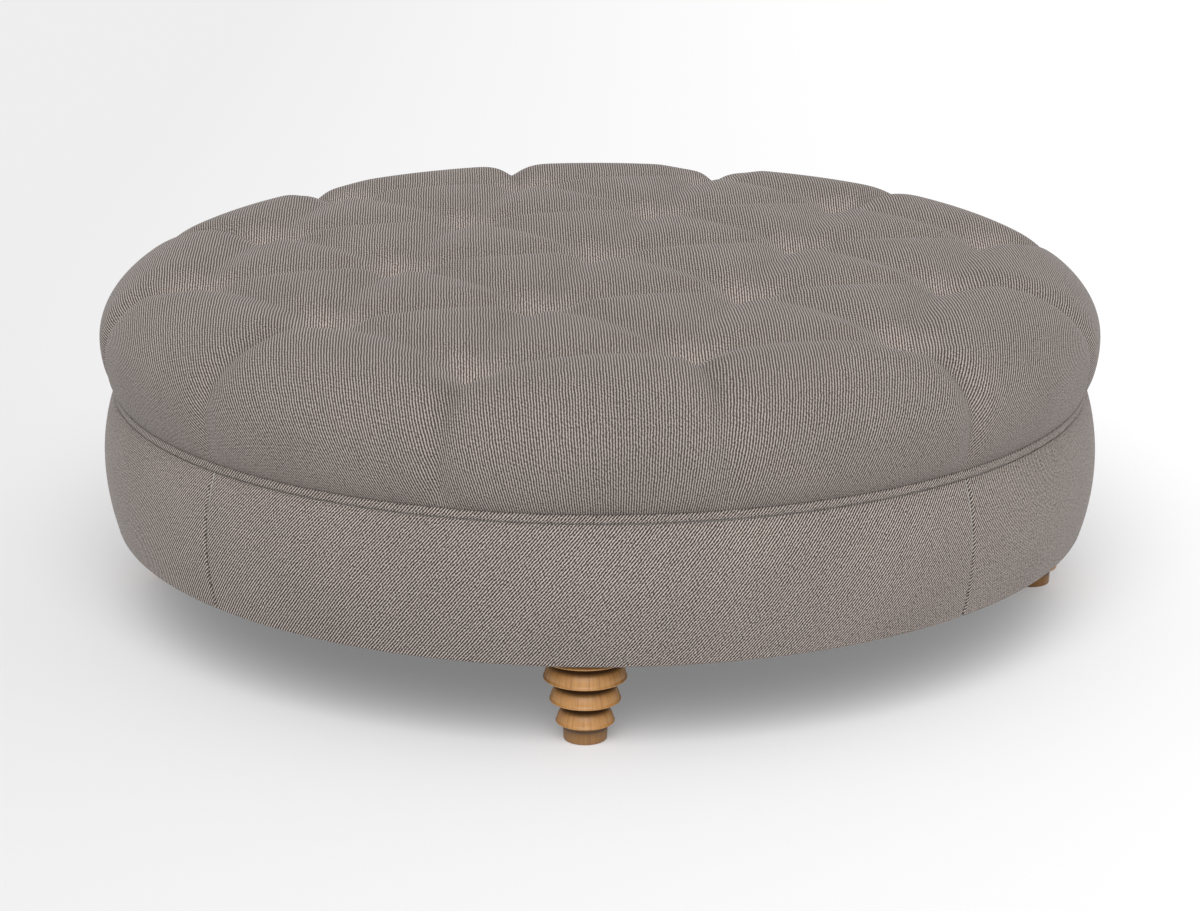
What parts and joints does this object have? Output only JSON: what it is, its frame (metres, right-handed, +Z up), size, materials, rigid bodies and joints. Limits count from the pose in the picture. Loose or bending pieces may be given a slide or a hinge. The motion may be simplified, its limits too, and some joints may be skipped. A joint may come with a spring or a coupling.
{
  "type": "round tufted ottoman coffee table",
  "caption": "Round ottoman coffee table with a deeply tufted twill cushion, a flat welt, a barrelled upholstered drum and turned wooden beehive legs.",
  "frame": {"origin": "on the floor, under the middle of the drum", "axes": "+Z up; -Y to the front, through one leg; the other legs stand on +X, +Y and -X"},
  "size_m": [1.12, 1.12, 0.3978],
  "materials": {
    "twill": "woven, two-tone taupe",
    "oak": "clear satin",
    "beech": "sawn",
    "pine": "sawn",
    "plywood": "sanded",
    "wadding": "loose fibre",
    "foam": "open cell",
    "twine": "waxed",
    "fibre": "pressed fibre",
    "zinc": "zinc plated",
    "dust_cloth": "bonded cloth"
  },
  "bodies": {
    "root": {"bottom_ring": "plywood", "deck_screws": "zinc", "dust_cover": "dust_cloth", "hanger_bolts": "zinc", "leg_back": "oak", "leg_block_back": "beech", "leg_block_front": "beech", "leg_block_left": "beech", "leg_block_right": "beech", "leg_front": "oak", "leg_left": "oak", "leg_right": "oak", "post_back_left": "pine", "post_back_right": "pine", "post_front_left": "pine", "post_front_right": "pine", "rail_back": "pine", "rail_front": "pine", "rail_left": "pine", "rail_right": "pine", "ring_screws": "zinc", "seat_cover": "twill", "seat_deck": "plywood", "seat_foam": "foam", "seat_wadding": "wadding", "side_board": "plywood", "side_cover_back": "twill", "side_cover_front": "twill", "side_cover_left": "twill", "side_cover_right": "twill", "side_wadding": "wadding", "tee_nuts": "zinc", "tuft_twines": "twine", "tuft_washers": "fibre", "welt_band": "twill"}
  },
  "joints": []
}
